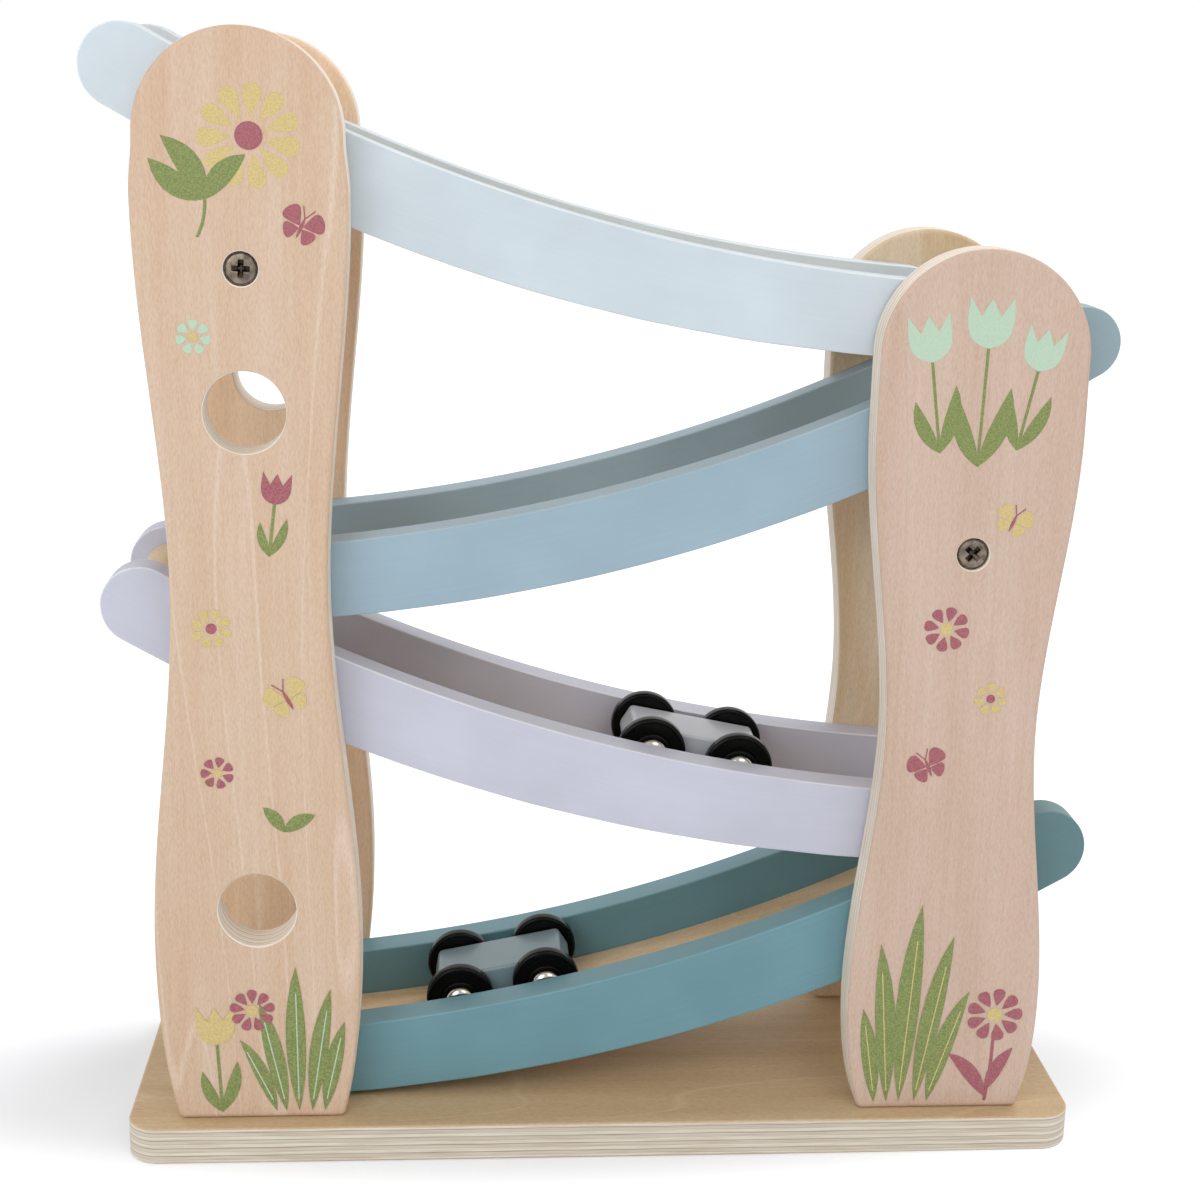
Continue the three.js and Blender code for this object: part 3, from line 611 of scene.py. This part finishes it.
# posts: a face nearer to square than faceFrom is veneer, and the rest shows the plies; near a bore the limit
# is boreFaceFrom, so that the small flare shows pale plies, which also stands as a painted highlight ring
# round the hole
postSizes = {"thick": 13, "edge": 1.5, "footHalf": 25.6, "footRound": 1.6, "y": 40, "foot": 12, "hole": 12,
             "holeFlare": 0.35, "screwSpread": 14, "spreaderDiameter": 14, "spreaderEdge": 0.4,
             "trackWidth": 67, "faceFrom": 0.55, "boreFaceFrom": 0.85, "boreReach": 0.4, "curveSteps": 32}
postShapes = {
    "left": {"side": -1, "hipHalf": 31.6, "hipHeight": 58, "waistHalf": 23.2, "waistDrop": 160,
             "shoulderHalf": 30.7, "shoulderDrop": 46, "crownHalf": 29.4, "crownRise": 15,
             "spreaderDrop": 51.4, "screwTurn": 0.05, "track": "track1", "face": birchLeft,
             "holes": (("track2", 44), ("track4", 48.5))},
    "right": {"side": 1, "hipHalf": 30.8, "hipHeight": 38, "waistHalf": 23.5, "waistDrop": 147,
              "shoulderHalf": 31.4, "shoulderDrop": 54, "crownHalf": 31.3, "crownRise": 34,
              "spreaderDrop": 56.6, "screwTurn": 0.75, "track": "track2", "face": birchRight, "holes": ()},
}


def postOutline(p, height):
    f, c = postSizes["footHalf"], postSizes["footRound"]
    hip, hipZ, waist, shoulder = p["hipHalf"], p["hipHeight"], p["waistHalf"], p["shoulderHalf"]
    crown = p["crownHalf"]
    waistZ, shoulderZ, crownZ = height - p["waistDrop"], height - p["shoulderDrop"], height - crown
    lean = (hip - f) / 2

    def wave(x0, z0, x1, z1):
        pull = (z1 - z0) / 3
        return [(Vector((x0, z0)), Vector((x0, z0 + pull)), Vector((x1, z1 - pull)), Vector((x1, z1)))]

    foot = Vector((f + lean * c / (hipZ / 5), c))
    right = [(Vector((f - c, 0)), Vector((f - 0.4 * c, 0)), foot - Vector((0.1 * c, 0.6 * c)), foot),
             (foot, Vector((f + lean, hipZ / 5)), Vector((hip, hipZ / 2)), Vector((hip, hipZ)))]
    right += wave(hip, hipZ, waist, waistZ) + wave(waist, waistZ, shoulder, shoulderZ)
    right += wave(shoulder, shoulderZ, crown, crownZ) + quarter((0, crownZ), (crown, 0), (0, crown))
    left = [tuple(Vector((-v.x, v.y)) for v in reversed(piece)) for piece in reversed(right)]
    return straight((c - f, 0), (f - c, 0)) + right + left


for side, p in postShapes.items():
    s = postSizes
    x, faceY = p["side"] * trackSizes["postX"], s["y"] + s["thick"] / 2
    railTop = topEdge(trackLooks[p["track"]], x)
    height = railTop + p["crownRise"] - s["foot"]
    screwZ = railTop - p["spreaderDrop"]
    holes = [trackLooks[track]["arcZ"] - trackSizes["railRadius"] + lift for track, lift in p["holes"]]
    bores = [(screwZ, screwSizes["mouth"] / 2)] + [(z, s["hole"]) for z in holes]
    for row, front in rows.items():
        facing = Matrix.Rotation(0 if front < 0 else pi, 4, "Z")
        mesh = boardMesh("post", postOutline(p, height), s["thick"], s["edge"], s["curveSteps"])
        bm = meshToBm(mesh, at(x, front * s["y"], s["foot"]) @ upright)
        cutters = screwHoleBm()
        cutters.transform(at(x, front * faceY, screwZ) @ facing @ skew)
        for z in holes:
            bore = throughHoleBm(s["hole"], s["thick"], s["holeFlare"])
            mergeBm(cutters, bore, at(x, front * s["y"], z) @ skew)
        bm = cutBm(bm, cutters)
        for face in bm.faces:
            c = face.calc_center_median() / mm
            # the flare round each bore takes the pale ply edge, partly a painted highlight
            bored = any(hypot(c.x - x, c.z - z) < radius + s["boreReach"] for z, radius in bores)
            faceFrom = s["boreFaceFrom"] if bored else s["faceFrom"]
            face.material_index = 0 if abs(face.normal.y) > faceFrom else 1
        looks = [p["face"], edgeFront] if front < 0 else [birchRear[side], edgeRear]
        finishPiece(f"post_{side}_{row}_board", bm, looks, "frame", [f"post_{side}_{row}"], "y")
        headY = front * (faceY - screwSizes["sink"] + screwSizes["headHeight"])
        turned = facing @ Matrix.Rotation(p["screwTurn"], 4, "Y")
        placeScrew(f"post_screw_{side}_{row}", at(x, headY, screwZ) @ turned)
    placeDowel(f"spreader_{side}", s["spreaderDiameter"], s["trackWidth"], s["spreaderEdge"],
               at(x, 0, screwZ))
print("posts ready")

# printed flowers: flat sheets of ink on the front faces of the front posts
printSizes = {"lift": 0.002, "thick": 0.05, "steps": 9, "speckleMm": 0.5, "hair": 0.35}
inkTones = {"green": ("#6b7941", "#8b9659"), "yellow": ("#c2ac70", "#d2be84"),
            "plum": ("#904d56", "#aa676e"), "mint": ("#afc8b1", "#b7cfb8")}
inks = {name: printInk(f"screen print ink {name}", tones, printSizes["speckleMm"])
        for name, tones in inkTones.items()}


def inkSheet(bm, loop, layer):
    points = []
    for a, b, c, d in loop:
        points += interpolate_bezier(a.to_3d(), b.to_3d(), c.to_3d(), d.to_3d(), printSizes["steps"])[:-1]
    postFace = -postSizes["y"] - postSizes["thick"] / 2
    front = postFace - printSizes["thick"] - (1 + layer) * printSizes["lift"]
    face = bm.faces.new([bm.verts.new((p.x * mm, front * mm, p.y * mm)) for p in points])
    grown = bmesh.ops.extrude_face_region(bm, geom=[face])
    moved = [v for v in grown["geom"] if isinstance(v, bmesh.types.BMVert)]
    bmesh.ops.translate(bm, verts=moved, vec=(0, printSizes["thick"] * mm, 0))


def heading(turn):
    return Vector((sin(turn), cos(turn)))


# a pointed blade from its foot, leaning by turn from upright and curling over by bend at the tip
def blade(foot, length, width, turn, bend=0.0, belly=0.45):
    foot, way = Vector(foot), heading(turn)
    tip = foot + heading(turn + bend / 2) * length
    side = Vector((way.y, -way.x)) * width / 2
    low, high = foot + way * length * belly * 0.55, foot + way * length * (belly + 0.25)
    near, far = side * 1.1, side * 1.25
    return [(foot, low + near, high + far, tip), (tip, high - far, low - near, foot)]


# a slim stalk between two points that bows sideways
def stalk(a, b, width, bow=0.0):
    a, b = Vector(a), Vector(b)
    run = b - a
    side = Vector((run.y, -run.x)).normalized()
    low, high = [a.lerp(b, share) + side * bow for share in (0.35, 0.7)]
    h = side * width / 2
    there, back = [(a + h, low + h, high + h, b + h)], [(b - h, high - h, low - h, a - h)]
    return there + straight(b + h, b - h) + back + straight(a - h, a + h)


# one petal with a round tip, broadest near the tip
def petal(centre, start, reach, width, turn):
    centre, way = Vector(centre), heading(turn)
    side = Vector((way.y, -way.x)) * width / 2
    foot, tip = centre + way * start, centre + way * reach
    low, broad = foot.lerp(tip, 0.3), foot.lerp(tip, 0.72)
    back, ahead = way * (reach - start) * 0.12, way * (reach - start) * 0.2
    return [(foot, low + side * 0.6, broad + side - back, broad + side),
            (broad + side, broad + side + ahead, tip + side * 0.5, tip),
            (tip, tip - side * 0.5, broad - side + ahead, broad - side),
            (broad - side, broad - side - back, low - side * 0.6, foot)]


def daisy(centre, radius, petals, petalInk, discInk, turn=0.0):
    width = 2 * pi * radius / petals * 0.62
    turns = [turn + 2 * pi * i / petals for i in range(petals)]
    rays = [(petalInk, petal(centre, radius * 0.34, radius, width, way)) for way in turns]
    return rays + [(discInk, circle(centre, radius * 0.27))]


def tulip(foot, height, cup, flowerInk, leafInk, lean=0.0):
    foot, way = Vector(foot), heading(lean)
    head = foot + way * (height - cup)
    side = Vector((way.y, -way.x))
    w = cup * 0.46
    lip = head + side * w * 0.95 + way * cup
    edge = (head, head + side * w * 1.25 + way * cup * 0.1, head + side * w + way * cup * 0.6, lip)
    notch, crown = head + side * w * 0.42 + way * cup * 0.62, head + way * cup * 0.97
    mirror = lambda v: head + way * (v - head).dot(way) - side * (v - head).dot(side)
    right = [edge] + straight(lip, notch) + straight(notch, crown)
    left = [tuple(mirror(v) for v in reversed(piece)) for piece in reversed(right)]
    return [(leafInk, stalk(foot, head + way * 0.6, 0.9)), (flowerInk, right + left),
            (leafInk, blade(foot, height * 0.5, height * 0.13, lean + 0.5, -0.35)),
            (leafInk, blade(foot, height * 0.42, height * 0.12, lean - 0.55, 0.4))]


def butterfly(centre, size, wingInk, bodyInk, turn=0.0):
    centre = Vector(centre)
    spread = ((0.95, 0.62, 0.5), (-0.95, 0.62, 0.5), (2.15, 0.46, 0.42), (-2.15, 0.46, 0.42))
    wings = [(wingInk, petal(centre, size * 0.06, size * reach, size * width, turn + way))
             for way, reach, width in spread]
    tail, brow = centre - heading(turn) * size * 0.3, centre + heading(turn) * size * 0.24
    feelers = [(bodyInk, stalk(brow, centre + heading(turn + way) * size * 0.56, printSizes["hair"]))
               for way in (0.3, -0.3)]
    return wings + [(bodyInk, blade(tail, size * 0.6, size * 0.11, turn))] + feelers


def tuft(foot, blades, ink, veinInk):
    pieces = []
    for dx, length, width, turn, bend in blades:
        start = Vector((foot[0] + dx, foot[1]))
        pieces.append((ink, blade(start, length, width, turn, bend)))
        low, high = start + heading(turn) * 4, start + heading(turn + bend * 0.45) * length * 0.82
        pieces.append((veinInk, stalk(low, high, printSizes["hair"])))
    return pieces


prints = {
    "left": [
        *daisy((-104.5, 314), 14.5, 11, "yellow", "plum", 0.1),
        ("green", blade((-117, 296.5), 21, 8, -0.35, -0.5)),
        ("green", blade((-117, 296.5), 19, 7.5, -1.15, 0.4)),
        ("green", blade((-117, 296.5), 17, 7, 0.55, 0.4)),
        ("green", stalk((-117, 297), (-119.5, 286), 0.9, -1)),
        *butterfly((-90.5, 289), 11, "plum", "plum", 0.45),
        *daisy((-121.5, 258), 5, 7, "mint", "yellow"),
        *tulip((-101.5, 194), 25, 9.5, "plum", "green", 0.12),
        *daisy((-119, 172), 6, 8, "yellow", "plum", 0.3),
        *butterfly((-97, 150), 12, "yellow", "plum", -0.5),
        *daisy((-118.5, 127), 5, 7, "plum", "yellow", 0.2),
        ("green", blade((-99, 108), 11, 5, 0.9, 0.3)),
        ("green", blade((-99, 108), 10, 4.5, -0.5, -0.3)),
        *tuft((-92, 14.5), [(-11, 27, 5, -0.3, -0.25), (-8, 38, 6.5, -0.16, -0.1), (-4, 49, 7, -0.04, 0.06),
                            (0, 42, 6.5, 0.1, 0.1), (4, 31, 6, 0.16, 0.1)], "green", "mint"),
        *tulip((-120, 14.5), 36, 13, "yellow", "green", -0.05),
        *daisy((-110, 49), 7, 9, "plum", "yellow")],
    "right": [
        *tulip((95.5, 226), 41, 14, "mint", "green", -0.14),
        *tulip((107, 222), 50, 15, "mint", "green", 0.03),
        *tulip((118.5, 227), 37, 13, "mint", "green", 0.2),
        *butterfly((119, 205), 10, "yellow", "plum", 0.4),
        *daisy((101, 172), 7, 8, "plum", "yellow", 0.2),
        *daisy((116, 150), 5, 7, "yellow", "plum"),
        *butterfly((98, 128), 11, "plum", "plum", -0.4),
        *tuft((95, 14.5), [(-8, 33, 6, -0.12, -0.06), (-4, 55, 7.5, -0.05, -0.06), (0, 68, 8.5, 0.03, 0.06),
                           (5, 58, 7.5, 0.12, 0.1), (9, 40, 7, 0.2, 0.2)], "green", "yellow"),
        ("plum", stalk((123, 14.5), (124.5, 38), 1.0, 0.6)),
        *daisy((124.5, 44.5), 9, 9, "plum", "yellow", 0.15),
        ("plum", blade((123, 16), 20, 5.5, -0.5, -0.4)),
        ("plum", blade((123, 18), 17, 5, 0.35, 0.3))],
}
for side, pieces in prints.items():
    for name, ink in inks.items():
        bm = bmesh.new()
        for layer, (used, loop) in enumerate(pieces):
            if used == name:
                inkSheet(bm, loop, layer)
        bmesh.ops.recalc_face_normals(bm, faces=bm.faces)
        finishPiece(f"print_{side}_{name}", bm, [ink], "frame", flatAxis="y", sharp=30)
print("prints ready")

# base board
baseSizes = {"length": 300.6, "shift": 0.6, "depth": 106, "thick": 12, "corner": 10, "edge": 0.8,
             "faceFrom": 0.55}


def baseOutline():
    b = baseSizes
    x, y, c = b["length"] / 2, b["depth"] / 2, b["corner"]
    outline = straight((c - x, -y), (x - c, -y)) + quarter((x - c, c - y), (0, -c), (c, 0))
    outline += straight((x, c - y), (x, y - c)) + quarter((x - c, y - c), (c, 0), (0, c))
    outline += straight((x - c, y), (c - x, y)) + quarter((c - x, y - c), (0, c), (-c, 0))
    return outline + straight((-x, y - c), (-x, c - y)) + quarter((c - x, c - y), (-c, 0), (0, -c))


b = baseSizes
footScrews = {}
for side, p in postShapes.items():
    for row, front in rows.items():
        for end, aside in (("a", -1), ("b", 1)):
            x = p["side"] * trackSizes["postX"] + aside * postSizes["screwSpread"]
            footScrews[f"foot_screw_{side}_{row}_{end}"] = (x, front * postSizes["y"])
mesh = boardMesh("base", baseOutline(), b["thick"], b["edge"])
bm = meshToBm(mesh, at(b["shift"], 0, b["thick"] / 2))
cutters = bmesh.new()
for x, y in footScrews.values():
    mergeBm(cutters, screwHoleBm(), at(x, y, 0) @ upright @ skew)
bm = cutBm(bm, cutters)
for face in bm.faces:
    face.material_index = 0 if abs(face.normal.z) > b["faceFrom"] else 1
finishPiece("base_board_panel", bm, [birchBoard, edgeBoard], "frame", ["base_board"], "z")
for node, (x, y) in footScrews.items():
    placeScrew(node, at(x, y, screwSizes["sink"] - screwSizes["headHeight"]) @ upright)
print("base ready")

# cars
carSizes = {"length": 46, "flat": 41, "width": 22.5, "height": 13, "edge": 0.9, "cornerRound": 1.1,
            "turn": radians(11.2), "wheelbase": 28.8, "wheel": 11, "wheelWidth": 4.2, "tyreRound": 0.75,
            "ease": 0.25, "rim": 9.7, "rimSlope": 0.35, "bead": 0.1, "web": 0.35, "boss": 6,
            "bossHeight": 0.7, "bossLand": 1.1, "bossSeat": 0.3, "groove": 0.6, "bore": 1.75, "play": 0.4,
            "rollGap": 0.25, "cap": 4.8, "capHeight": 2.6, "capWall": 0.45, "axle": 1.5}
carLooks = {"upper": {"track": "track3", "colour": "#b8bcc4"},
            "lower": {"track": "track4", "colour": "#7b9198"}}


def carOutline():
    c = carSizes
    nose, flat, half = c["length"] / 2, c["flat"] / 2, c["height"] / 2
    corners = [(-flat, -half), (flat, -half), (nose, 0), (flat, half), (-flat, half), (-nose, 0)]
    outline = []
    for i, corner in enumerate(corners):
        here, before, after = Vector(corner), Vector(corners[i - 1]), Vector(corners[(i + 1) % 6])
        a, b = [here + (other - here).normalized() * c["cornerRound"] for other in (before, after)]
        if outline:
            outline += straight(outline[-1][3], a)
        outline.append((a, a.lerp(here, 0.55), b.lerp(here, 0.55), b))
    return outline + straight(outline[-1][3], outline[0][0])


def wheelBm():
    c = carSizes
    r, w, rim, boss, bore, ease = c["wheel"], c["wheelWidth"], c["rim"], c["boss"], c["bore"], c["ease"]
    edge, slope, bead, web, groove = c["tyreRound"], c["rimSlope"], c["bead"], c["web"], c["groove"]
    top, land, seat = w + c["bossHeight"], c["bossLand"], c["bossSeat"]
    profile = [(bore, web), (rim - slope, web), (rim, bead), (rim + ease, 0), (r - edge, 0),
               (r - ease, 0.8 * ease), (r, edge), (r, w - edge), (r - ease, w - 0.8 * ease), (r - edge, w),
               (rim + ease, w), (rim, w - bead), (rim - slope, w - web), (boss + groove, w - web),
               (boss + groove / 3, w - web - ease), (boss, w - web), (boss, top - ease), (boss - ease, top),
               (boss - land, top), (boss - land - ease, top - seat), (bore, top - seat)]
    return turnedBm(profile, turnSteps["wheel"], closed=True)


def capBm():
    r, h, bead, wall = (carSizes[key] for key in ("cap", "capHeight", "bead", "capWall"))
    profile = [(0, 0), (r - bead, 0), (r, bead), (r, wall)]
    turns = [k * pi / 16 for k in range(1, 8)]
    profile += [(r * cos(turn), wall + (h - wall) * sin(turn)) for turn in turns] + [(0, h)]
    return turnedBm(profile, turnSteps["small"])


for car, look in carLooks.items():
    c = carSizes
    t = trackLooks[look["track"]]
    axlePath = trackSizes["floorRadius"] - c["wheel"] - c["rollGap"]
    middle = onArc(t, sqrt(axlePath ** 2 - (c["wheelbase"] / 2) ** 2), c["turn"])
    seat = at(middle.x, 0, middle.y) @ Matrix.Rotation(-t["high"] * c["turn"], 4, "Y")
    paint = satinPaint(f"satin paint {car} car", {
        "tones": paintTones(look["colour"]), "rightShade": "#ffffff", "roughness": 0.3, "grainMm": 0.7,
        "grainLengthMm": 25, "arcCentre": (t["arcX"] * mm, 0, t["arcZ"] * mm)})
    bm = meshToBm(boardMesh("body", carOutline(), c["width"], c["edge"]), seat @ upright)
    body = f"{car}_car"
    finishPiece(f"{body}_block", bm, [paint], body, [f"{body}_body"], sharp=50)
    wheelInner = c["width"] / 2 + c["play"]
    capInner = wheelInner + c["wheelWidth"] + c["bossHeight"] + c["play"]
    for end, x in (("left", -c["wheelbase"] / 2), ("right", c["wheelbase"] / 2)):
        profile = [(0, -capInner), (c["axle"], -capInner), (c["axle"], capInner), (0, capInner)]
        bm = turnedBm(profile, turnSteps["pin"])
        bm.transform(seat @ at(x, 0, 0))
        finishPiece(f"{body}_axle_{end}_pin", bm, [chrome], body, [f"{body}_axle_{end}"])
        for row, front in rows.items():
            facing = Matrix.Rotation(0 if front > 0 else pi, 4, "X")
            bm = wheelBm()
            bm.transform(seat @ at(x, front * wheelInner, 0) @ facing)
            wheel = f"{car}_wheel_{end}_{row}"
            finishPiece(f"{wheel}_tyre", bm, [blackPlastic], wheel,
                        [f"{body}_wheel_{end}_{row}"], sharp=50)
            bm = capBm()
            bm.transform(seat @ at(x, front * capInner, 0) @ facing)
            cap = f"{body}_cap_{end}_{row}"
            finishPiece(f"{cap}_dome", bm, [chrome], body, [cap], sharp=50)
print("cars ready")

# stage: a white floor that takes the shadow near the part and glows white further off
stageSizes = {"half": 6, "drop": 0.1, "colour": "#eef1f6", "fadeFrom": 0.155, "fadeTo": 0.276, "glow": 1.2,
              "shadowMix": 0.12, "spot": (0.023, 0.002, 0), "spotScale": (0.96, 3.27, 0)}
bm = bmesh.new()
bmesh.ops.create_grid(bm, x_segments=1, y_segments=1, size=stageSizes["half"])
bmesh.ops.translate(bm, verts=bm.verts, vec=(0, 0, -stageSizes["drop"] * mm))  # just clear of the underside
floorPiece = linked("studioFloor", bmToMesh("studioFloor", bm))
floorPaint, tree, shader, place = newMaterial("studio floor")
setNode(tree, shader, {"Base Color": hexToLinear(stageSizes["colour"]), "Roughness": 0.9})
rays = addNode(tree, "LightPath")
spot = addNode(tree, "Mapping", {"Location": stageSizes["spot"], "Scale": stageSizes["spotScale"]},
               {"Vector": place})
away = addNode(tree, "VectorMath", {"operation": "LENGTH"}, {0: spot}).outputs["Value"]
fade = addNode(tree, "MapRange", {"interpolation_type": "SMOOTHSTEP", "From Min": stageSizes["fadeFrom"],
                                  "From Max": stageSizes["fadeTo"], "To Min": stageSizes["shadowMix"]},
               {"Value": away})
glow = addNode(tree, "Emission", {"Strength": stageSizes["glow"]})
seen = addNode(tree, "Math", {"operation": "MULTIPLY"}, {0: rays.outputs["Is Camera Ray"], 1: fade})
both = addNode(tree, "MixShader", None, {0: seen, 1: shader, 2: glow})
setNode(tree, tree.nodes["Material Output"], None, {"Surface": both})
floorPiece.data.materials.append(floorPaint)

# the room is white to the eye and in reflections, and as light it is stronger from both sides
roomLight = {"front": 0.62, "back": 0.7, "sides": 0.62, "tint": "#fefdfc"}
world = bpy.data.worlds.new("studio")
scene.world = world
world.use_nodes = True
tree = world.node_tree
tree.nodes.clear()
rays = addNode(tree, "LightPath")
way = addNode(tree, "SeparateXYZ", None, {0: addNode(tree, "TexCoord").outputs["Generated"]})
facing = addNode(tree, "MapRange", {"From Min": -1, "To Min": roomLight["front"],
                                    "To Max": roomLight["back"]}, {"Value": way.outputs[1]})
sides = addNode(tree, "Math", {"operation": "MULTIPLY"}, {0: way, 1: way})
level = addNode(tree, "Math", {"operation": "MULTIPLY_ADD", 1: roomLight["sides"]}, {0: sides, 2: facing})
ambient = addNode(tree, "Background", {"Color": hexToLinear(roomLight["tint"])}, {"Strength": level})
white = addNode(tree, "Background", {"Color": (1, 1, 1, 1)})
direct = addNode(tree, "Math", {"operation": "MAXIMUM"},
                 {0: rays.outputs["Is Camera Ray"], 1: rays.outputs["Is Glossy Ray"]})
clear = addNode(tree, "Math", {"operation": "MAXIMUM"}, {0: direct, 1: rays.outputs["Is Transmission Ray"]})
both = addNode(tree, "MixShader", None, {0: clear, 1: ambient, 2: white})
addNode(tree, "OutputWorld", None, {"Surface": both})

lamps = {
    "keySoftbox": {"from": (-650, -1080, 760), "to": (0, 0, 160), "size": 900, "power": 4.5,
                   "tint": "#ffffff"},
    "backSoftbox": {"from": (480, 440, 1080), "to": (0, 0, 140), "size": 520, "power": 2.8,
                    "tint": "#ffffff"},
    "frontFill": {"from": (420, -850, 1000), "to": (0, 0, 160), "size": 700, "power": 2.05,
                  "tint": "#fff8f0"},
}
for name, lamp in lamps.items():
    data = bpy.data.lights.new(name, "AREA")
    data.shape = "DISK"
    data.size = lamp["size"] * mm
    data.energy = lamp["power"]
    data.color = hexToLinear(lamp["tint"])[:3]
    holder = linked(name, data)
    holder.location = Vector(lamp["from"]) * mm
    holder.rotation_euler = (Vector(lamp["to"]) - Vector(lamp["from"])).to_track_quat("-Z", "Y").to_euler()

cameraSet = {"place": (-43.6, -620.1, 330.0), "yaw": 3.93, "pitch": 14.53, "roll": 1.10,
             "focalPixels": 1995.5, "pixels": 1200, "sensor": 36, "clip": (0.01, 50)}
cameraData = bpy.data.cameras.new("camera")
cameraData.sensor_width = cameraSet["sensor"]
cameraData.lens = cameraSet["focalPixels"] / cameraSet["pixels"] * cameraSet["sensor"]
cameraData.clip_start, cameraData.clip_end = cameraSet["clip"]
camera = linked("camera", cameraData)
camera.matrix_world = (Matrix.Translation(Vector(cameraSet["place"]) * mm)
                       @ Matrix.Rotation(radians(-cameraSet["yaw"]), 4, "Z")
                       @ Matrix.Rotation(radians(90 - cameraSet["pitch"]), 4, "X")
                       @ Matrix.Rotation(radians(cameraSet["roll"]), 4, "Z"))
scene.camera = camera
scene.view_settings.view_transform = "Standard"
print("stage ready")
